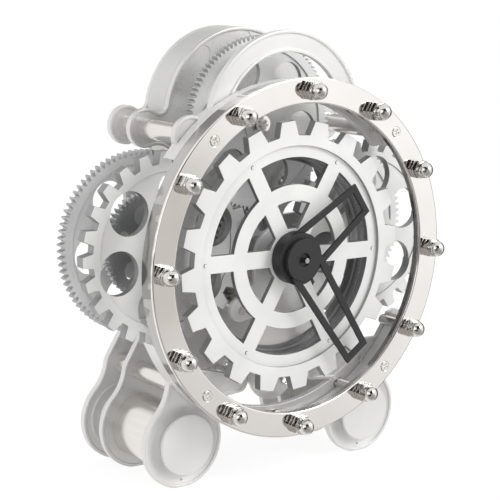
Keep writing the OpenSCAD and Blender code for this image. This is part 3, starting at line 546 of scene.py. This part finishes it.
print("faces after the cuts:", {node: len(mesh.polygons) for node, mesh in MESH_OF.items()})

# %% [markdown]
# Each dome nut on the real ring is a small stack: a washer, a hexagon nut and the cap. Two square grooves
# round the hexagon part them, and their edges catch thin bright lines. A groove is cut by a square ring, a
# closed profile carried round the nut's axis, and all the rings are one mesh, so that one boolean cuts the
# twelve nuts. The nuts stand in front of the ring's face, so their depths are negative.

# %% Stacked nuts
NUT_COUNT = 12
NUT_RING_R = 92.9
GROOVE_DEPTHS = [(-1.6, -0.9), (-5.0, -4.3)]
GROOVE_IN_R = 4.35
GROOVE_OUT_R = 7.5
GROOVE_STEPS = 32


def carried_round(profiles, axes, steps):
    """A mesh of closed profiles, as pairs of radius and depth, each carried round every axis."""
    points, faces = [], []
    for x, height in axes:
        for profile in profiles:
            first, sides = len(points), len(profile)
            for i in range(steps):
                turn = math.tau * i / steps
                here, there = first + i * sides, first + (i + 1) % steps * sides
                points += [at(x + r * math.cos(turn), height + r * math.sin(turn), depth)
                           for r, depth in profile]
                faces += [(here + j, here + (j + 1) % sides, there + (j + 1) % sides, there + j)
                          for j in range(sides)]
    return closed_mesh(points, faces)


nut_turns = [math.radians(360 / NUT_COUNT * i) for i in range(NUT_COUNT)]
nut_axes = [(NUT_RING_R * math.sin(turn), NUT_RING_R * math.cos(turn)) for turn in nut_turns]
squares = [[(GROOVE_IN_R, front), (GROOVE_OUT_R, front), (GROOVE_OUT_R, rear), (GROOVE_IN_R, rear)]
           for front, rear in GROOVE_DEPTHS]
grooves = put("grooves", carried_round(squares, nut_axes, GROOVE_STEPS))
MESH_OF["bezel_nuts"] = without(MESH_OF["bezel_nuts"], [grooves])
bpy.data.objects.remove(grooves)
print("faces of the nuts:", len(MESH_OF["bezel_nuts"].polygons))

# %% [markdown]
# Each node gets a stand-in with eased edges, and a piece that has no node of its own is made the same way.

# %% Stand-ins
def eased_piece(name, source, width_mm, body, material):
    """A piece with rounded edges, made from a mesh, that rides on a body."""
    mesh = eased_mesh(name, source, width_mm * MM)
    mesh.materials.append(material)
    piece = put(name, mesh)
    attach(piece, body)
    return piece


def eased(node, width_mm, body, material):
    """Stands in for a node with its edges rounded. It rides and is finished as the node was."""
    piece = eased_piece(node + "_eased", MESH_OF.get(node, NODES[node].data), width_mm, body, material)
    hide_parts(node)


BODY_OF = {node: obj["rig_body"] for node, obj in NODES.items()}
SLOT_OF = {part["node"]: part["material_slot"] for part in frame["record"]["subparts"]}

# %% [markdown]
# The construction model sorts its pieces by finish. FINISH holds one material for each of those names, and
# OWN_FINISH the few pieces that differ from their group. Each pattern below is noise, and what is known of a
# real surface is the width of its marks in millimetres, so one function turns that width into the noise's
# scale. Noise hardly leaves the middle of its range, and NOISE_SPAN says between which values it lies.

# %% Sizes of patterns
FINISH = {}
OWN_FINISH = {}
NOISE_SPAN = {"From Min": 0.3, "From Max": 0.7}


def fineness(width_mm):
    """The scale at which the marks of a pattern are width_mm wide."""
    return 1 / (width_mm * MM)


print("marks of 0.5 mm need a scale of", round(fineness(0.5)))

# %% [markdown]
# Polished stainless steel: lapped flat, then buffed until it mirrors the tent. It keeps a faint warm tone.
# Under the shine the lap has left hairlines of about 0.02 mm in all directions, far too fine to show. They
# are drawn as an even grain of 0.4 mm and very weak. Patches of haze, some 20 mm wide, blur the mirror here
# a little more than there.

# %% Polished stainless steel
def polished_steel():
    material, tree, shader = new_material("stainless_steel_polished")
    place = add(tree, "TexCoord").outputs["Object"]
    lap = add(tree, "TexNoise", {"Vector": place, "Scale": fineness(0.3846), "Detail": 3.0}).outputs[0]
    haze = add(tree, "TexNoise", {"Vector": place, "Scale": fineness(22.2), "Detail": 2.0}).outputs[0]
    rough = add(tree, "MapRange", {"Value": haze, **NOISE_SPAN, "To Min": 0.05, "To Max": 0.09})
    tone = add(tree, "ValToRGB", {"Fac": haze}, stops=[(0.3, "#f7f3ef"), (0.7, "#fcf9f6")])
    bump = add(tree, "Bump", {"Height": lap, "Strength": 0.02, "Distance": 0.05 * MM})
    feed(tree, shader, {"Base Color": tone.outputs[0], "Roughness": rough.outputs[0],
                        "Normal": bump.outputs[0], "Metallic": 1.0})
    return material


FINISH["polished_chrome"] = polished_steel()
print("made", FINISH["polished_chrome"].name)

# %% [markdown]
# The dome nuts are stainless too, but turned from drawn hexagon bar. Drawing leaves long shallow waves along
# the flats. They are drawn 0.6 mm apart, a little coarser than the real ones, and 9 mm long, so a flat that
# mirrors a dark flag shows bright streaks from nut to washer.

# %% Drawn stainless steel
def drawn_steel():
    material, tree, shader = new_material("stainless_bar_drawn")
    place = add(tree, "TexCoord").outputs["Object"]
    across, lengthwise = fineness(0.625), fineness(9.091)
    along = add(tree, "Mapping", {"Vector": place, "Scale": (across, lengthwise, across)}).outputs[0]
    wave = add(tree, "TexNoise", {"Vector": along, "Scale": 1.0, "Detail": 1.5}).outputs[0]
    tone = add(tree, "ValToRGB", {"Fac": wave}, stops=[(0.3, "#d9d5d1"), (0.7, "#eeebe8")])
    rough = add(tree, "MapRange", {"Value": wave, **NOISE_SPAN, "To Min": 0.05, "To Max": 0.12})
    bump = add(tree, "Bump", {"Height": wave, "Strength": 0.25, "Distance": 0.4 * MM})
    feed(tree, shader, {"Base Color": tone.outputs[0], "Roughness": rough.outputs[0],
                        "Normal": bump.outputs[0], "Metallic": 1.0})
    return material


OWN_FINISH["bezel_nuts"] = drawn_steel()
print("made", OWN_FINISH["bezel_nuts"].name)

# %% [markdown]
# Turned nickel-plated tube: the lathe and the polishing belt leave streaks along the tube, about 0.1 mm wide
# and many millimetres long. They are too fine to show, so they are drawn 1.4 mm wide and 100 mm long, by
# noise that is stretched along the tube's axis. A matt clear lacquer keeps the nickel from tarnishing, and
# its haze lifts the tube's dark reflections, so it isn't all metal here.

# %% Brushed nickel
def brushed_nickel():
    material, tree, shader = new_material("nickel_plate_brushed")
    place = add(tree, "TexCoord").outputs["Object"]
    across, lengthwise = fineness(1.4286), fineness(100.0)
    along = add(tree, "Mapping", {"Vector": place, "Scale": (across, lengthwise, across)}).outputs[0]
    streak = add(tree, "TexNoise", {"Vector": along, "Scale": 1.0, "Detail": 4.0,
                                    "Roughness": 0.65}).outputs[0]
    tone = add(tree, "ValToRGB", {"Fac": streak}, stops=[(0.32, "#efece8"), (0.62, "#f5f2ee")])
    rough = add(tree, "MapRange", {"Value": streak, **NOISE_SPAN, "To Min": 0.17, "To Max": 0.24})
    feed(tree, shader, {"Base Color": tone.outputs[0], "Roughness": rough.outputs[0], "Metallic": 0.86})
    return material


FINISH["satin_nickel"] = brushed_nickel()
print("made", FINISH["satin_nickel"].name)

# %% [markdown]
# The band behind the ring is turned aluminium, polished on the lathe. It mirrors the wheels beside it,
# slightly blurred. The tool leaves fine grooves that run round the band. They are drawn 0.7 mm apart, coarse
# enough to show, by noise that is fine along the axis and long round it.

# %% Turned aluminium
def turned_aluminium():
    material, tree, shader = new_material("aluminium_turned_polished")
    place = add(tree, "TexCoord").outputs["Object"]
    across, lengthwise = fineness(0.7143), fineness(111.1)
    around = add(tree, "Mapping", {"Vector": place, "Scale": (lengthwise, across, lengthwise)}).outputs[0]
    groove = add(tree, "TexNoise", {"Vector": around, "Scale": 1.0, "Detail": 3.0}).outputs[0]
    tone = add(tree, "ValToRGB", {"Fac": groove}, stops=[(0.3, "#bfbebc"), (0.7, "#cac9c7")])
    rough = add(tree, "MapRange", {"Value": groove, **NOISE_SPAN, "To Min": 0.07, "To Max": 0.13})
    feed(tree, shader, {"Base Color": tone.outputs[0], "Roughness": rough.outputs[0], "Metallic": 1.0})
    return material


OWN_FINISH["bezel_band"] = turned_aluminium()
print("made", OWN_FINISH["bezel_band"].name)

# %% [markdown]
# Silver lacquer over a zinc die casting: fine aluminium flakes in a satin clear coat. Up close it glitters
# faintly, from a step away it is a soft even grey that goes pale where it faces the light. The flakes are
# about 0.05 mm, too fine to show, so they are drawn about ten times as coarse and very weak. Clouds of tone,
# 26 mm wide, are where the spray lies thicker. The drum at the back gets a copy a shade darker, which is
# painted shade. The mid plate's copy is smoother with more metal in it, and also a shade darker, as painted
# shade for the deep inside behind the wheels.

# %% Silver lacquer
ROUGHNESS_RANGE = 0.14


def silver_lacquer(name="zinc_casting_silver_lacquer", low="#ecebea", high="#f1f1f0", metal=0.35, dull=0.36,
                   grain=0.06):
    material, tree, shader = new_material(name)
    place = add(tree, "TexCoord").outputs["Object"]
    flake = add(tree, "TexNoise", {"Vector": place, "Scale": fineness(0.5263), "Detail": 2.0}).outputs[0]
    cloud = add(tree, "TexNoise", {"Vector": place, "Scale": fineness(26.3), "Detail": 2.0}).outputs[0]
    tone = add(tree, "ValToRGB", {"Fac": cloud}, stops=[(0.35, low), (0.65, high)])
    rough = add(tree, "MapRange", {"Value": flake, **NOISE_SPAN, "To Min": dull,
                                   "To Max": dull + ROUGHNESS_RANGE})
    bump = add(tree, "Bump", {"Height": flake, "Strength": grain, "Distance": 0.05 * MM})
    feed(tree, shader, {"Base Color": tone.outputs[0], "Roughness": rough.outputs[0],
                        "Normal": bump.outputs[0], "Metallic": metal, "Coat Weight": 0.15,
                        "Coat Roughness": 0.25})
    return material


FINISH["silver_paint"] = silver_lacquer()
# A darker copy of the lacquer for the drum at the back: painted shade.
OWN_FINISH["drum_housing"] = silver_lacquer("zinc_drum_lacquer_painted_shade", "#dfdfde", "#e4e4e3")
# The mid plate's copy: smoother and with more metal, and a shade darker as painted shade for the deep inside.
OWN_FINISH["mid_plate"] = silver_lacquer("zinc_plate_satin_painted_shade", "#e6e6e5", "#ecebea", metal=0.5, dull=0.26,
                                         grain=0.01)
print("made", FINISH["silver_paint"].name, "and two of its kind")

# %% [markdown]
# Bead-blasted and clear-anodised aluminium: the beads leave tiny dents, so the flat faces scatter light
# almost like paper and stay pale. The dents are about 0.1 mm and drawn at 0.45 mm, so that they show. The
# walls of the teeth and windows were milled afterwards and stay bare metal, which mirrors its dark
# neighbours. On top of that the walls are given a darker colour, which is painted shade. The object's own
# surface direction tells one from the other: a face looks forwards or backwards, a wall doesn't. The gears
# behind are of the same kind, but satin, with a lighter painted shade on their walls.

# %% Blasted aluminium
FACE_COSINE, WALL_COSINE = 0.9, 0.6


def blasted_aluminium(name="aluminium_bead_blasted", low="#ececeb", high="#f5f5f4", shaded_wall_colour="#b0b1b2",
                      metal=0.35):
    material, tree, shader = new_material(name)
    coordinates = add(tree, "TexCoord").outputs
    place, way = coordinates["Object"], add(tree, "SeparateXYZ", {"Vector": coordinates["Normal"]})
    flatness = add(tree, "Math", {0: way.outputs["Y"]}, operation="ABSOLUTE")
    milled_and_shaded_wall = add(tree, "MapRange", {"Value": flatness.outputs[0], "From Min": FACE_COSINE,
                                    "From Max": WALL_COSINE}).outputs[0]
    dent = add(tree, "TexNoise", {"Vector": place, "Scale": fineness(0.4545), "Detail": 3.0}).outputs[0]
    cloud = add(tree, "TexNoise", {"Vector": place, "Scale": fineness(33.3), "Detail": 2.0}).outputs[0]
    tone = add(tree, "ValToRGB", {"Fac": cloud}, stops=[(0.35, low), (0.65, high)])
    rough = add(tree, "MapRange", {"Value": dent, **NOISE_SPAN, "To Min": 0.46, "To Max": 0.6})
    bump = add(tree, "Bump", {"Height": dent, "Strength": 0.08, "Distance": 0.04 * MM})
    # The darker wall colour is partly bare milled metal and partly painted shade.
    colour = add(tree, "Mix", {"Factor": milled_and_shaded_wall, MIX_UNDER: tone.outputs[0], MIX_OVER: paint(shaded_wall_colour)},
                 data_type="RGBA")
    metallic = add(tree, "MapRange", {"Value": milled_and_shaded_wall, "To Min": metal, "To Max": 1.0})
    feed(tree, shader, {"Base Color": colour.outputs[MIX_RESULT], "Roughness": rough.outputs[0],
                        "Normal": bump.outputs[0], "Metallic": metallic.outputs[0]})
    return material


FINISH["pale_wheel"] = OWN_FINISH["spoke_pins"] = blasted_aluminium()
FINISH["gear_steel"] = blasted_aluminium("aluminium_gear_satin", "#e8e8e8", "#f1f1f1", "#cbcccd", 0.4)
print("made", FINISH["pale_wheel"].name, "and", FINISH["gear_steel"].name)

# %% [markdown]
# Machined steel on the small gears and arbors, and nickel-plated brass on the pinions: lines of the cutter
# and a satin shine. The lines are a few hundredths of a millimetre apart, too fine to show, so they are drawn
# as a grain of 0.7 mm. The plating keeps a little of the brass's warmth.

# %% Machined metal
def machined_metal(name, low, high, rough_low, rough_high):
    material, tree, shader = new_material(name)
    place = add(tree, "TexCoord").outputs["Object"]
    line = add(tree, "TexNoise", {"Vector": place, "Scale": fineness(0.6667), "Detail": 3.0}).outputs[0]
    tone = add(tree, "ValToRGB", {"Fac": line}, stops=[(0.3, low), (0.7, high)])
    rough = add(tree, "MapRange", {"Value": line, **NOISE_SPAN, "To Min": rough_low, "To Max": rough_high})
    feed(tree, shader, {"Base Color": tone.outputs[0], "Roughness": rough.outputs[0], "Metallic": 1.0})
    return material


FINISH["dark_gear"] = machined_metal("steel_gear_machined", "#b4b5b7", "#c8c9ca", 0.3, 0.42)
FINISH["turned_steel"] = machined_metal("steel_arbor_turned", "#a8a9ab", "#c6c7c9", 0.22, 0.34)
FINISH["machined_brass"] = machined_metal("brass_nickel_plated", "#b5b2ac", "#cbc8c2", 0.2, 0.32)
print("made", [FINISH[slot].name for slot in ("dark_gear", "turned_steel", "machined_brass")])

# %% [markdown]
# Black parts: the hands are matt black enamel on brass, which dries with a faint orange peel, and the
# movement case is moulded ABS with a fine spark texture. The sleeve of the cells is shrunk PVC, smooth and
# glossy, with slow waves of 2 mm. None is truly black: under the tent's light they come out dark grey.

# %% Black enamel, moulded ABS and shrunk PVC
def dark_coat(name, low, high, grain_mm, rough_low, rough_high, ior):
    material, tree, shader = new_material(name)
    place = add(tree, "TexCoord").outputs["Object"]
    grain = add(tree, "TexNoise", {"Vector": place, "Scale": fineness(grain_mm), "Detail": 2.0}).outputs[0]
    tone = add(tree, "ValToRGB", {"Fac": grain}, stops=[(0.3, low), (0.7, high)])
    rough = add(tree, "MapRange", {"Value": grain, **NOISE_SPAN, "To Min": rough_low, "To Max": rough_high})
    bump = add(tree, "Bump", {"Height": grain, "Strength": 0.15, "Distance": 0.05 * MM})
    feed(tree, shader, {"Base Color": tone.outputs[0], "Roughness": rough.outputs[0],
                        "Normal": bump.outputs[0], "IOR": ior})
    return material


FINISH["black_enamel"] = dark_coat("black_enamel_matt", "#242425", "#2c2c2d", 0.5, 0.42, 0.55, ior=1.5)
FINISH["black_plastic"] = dark_coat("abs_black_moulded", "#1b1b1c", "#232324", 0.6, 0.4, 0.5, ior=1.53)
FINISH["cell_sleeve"] = dark_coat("pvc_sleeve_gloss", "#33363a", "#3b3e42", 2.0, 0.15, 0.22, ior=1.53)
print("finishes:", len(FINISH), "and", len(OWN_FINISH), "for single pieces")

# %% [markdown]
# How much an edge is broken depends on how the piece is made: a casting has soft edges, a stamped or milled
# wheel a fine one, and gear teeth only a touch, so that they still mesh. The ring's edges are the widest,
# because they were rounded on the polishing wheel. With that, every node gets its stand-in, and the skirt
# behind the band rides and looks like the casting that it belongs to.

# %% Edges
EDGE_MM = {
    "silver_paint": 0.5,
    "polished_chrome": 0.25,
    "satin_nickel": 0.3,
    "pale_wheel": 0.3,
    "gear_steel": 0.14,
    "dark_gear": 0.12,
    "turned_steel": 0.15,
    "black_enamel": 0.2,
    "machined_brass": 0.08,
    "black_plastic": 0.4,
    "cell_sleeve": 0.4,
}
OWN_EDGE_MM = {"bezel_ring": 0.9}
for node in NODES:
    slot = SLOT_OF[node]
    eased(node, OWN_EDGE_MM.get(node, EDGE_MM[slot]), BODY_OF[node], OWN_FINISH.get(node, FINISH[slot]))
eased_piece("casting_skirt", skirt_mesh, EDGE_MM["silver_paint"], BODY_OF["front_casting"],
            FINISH["silver_paint"])
print("eased copies:", len(NODES))

# %% [markdown]
# Through the windows of the slow wheel one looks into a dish behind its rim. It is spun from aluminium sheet
# and turned inside, so fine grooves run round it. At the right its slope mirrors the dark side of the room,
# and at the bottom the bright cloth above, which gives the open wheel its depth. A profile carried round the
# axis keeps exact radii. The grooves follow the distance from the axis, and are drawn 1.5 mm apart, because
# real ones of 0.2 mm would not show.

# %% Spun dish
DISH_PROFILE = [(62.0, 13.98), (57.2, 13.98), (52.4, 23.4), (52.4, 24.0), (53.4, 24.0), (58.6, 14.9),
                (62.0, 14.9)]
DISH_STEPS = 160
DISH_EDGE_MM = 0.2


def turned_dish():
    material, tree, shader = new_material("aluminium_spun_turned")
    place = add(tree, "TexCoord").outputs["Object"]
    centred = add(tree, "VectorMath", {0: place, 1: RING_CENTRE}, operation="SUBTRACT")
    flat = add(tree, "VectorMath", {0: centred.outputs[0], 1: (1.0, 0.0, 1.0)}, operation="MULTIPLY")
    radius = add(tree, "VectorMath", {0: flat.outputs[0]}, operation="LENGTH")
    groove = add(tree, "TexNoise", {"W": radius.outputs["Value"], "Scale": fineness(1.5), "Detail": 2.0},
                 noise_dimensions="1D").outputs[0]
    tone = add(tree, "ValToRGB", {"Fac": groove}, stops=[(0.35, "#9b9b9c"), (0.65, "#b9b9ba")])
    rough = add(tree, "MapRange", {"Value": groove, **NOISE_SPAN, "To Min": 0.2, "To Max": 0.3})
    feed(tree, shader, {"Base Color": tone.outputs[0], "Roughness": rough.outputs[0], "Metallic": 1.0})
    return material


dish_mesh = carried_round([DISH_PROFILE], [(0, 0)], DISH_STEPS)
eased_piece("wheel_dish", dish_mesh, DISH_EDGE_MM, BODY_OF["centre_wheel"], turned_dish())
print("dish from radius", DISH_PROFILE[0][0], "to", DISH_PROFILE[2][0], "mm")
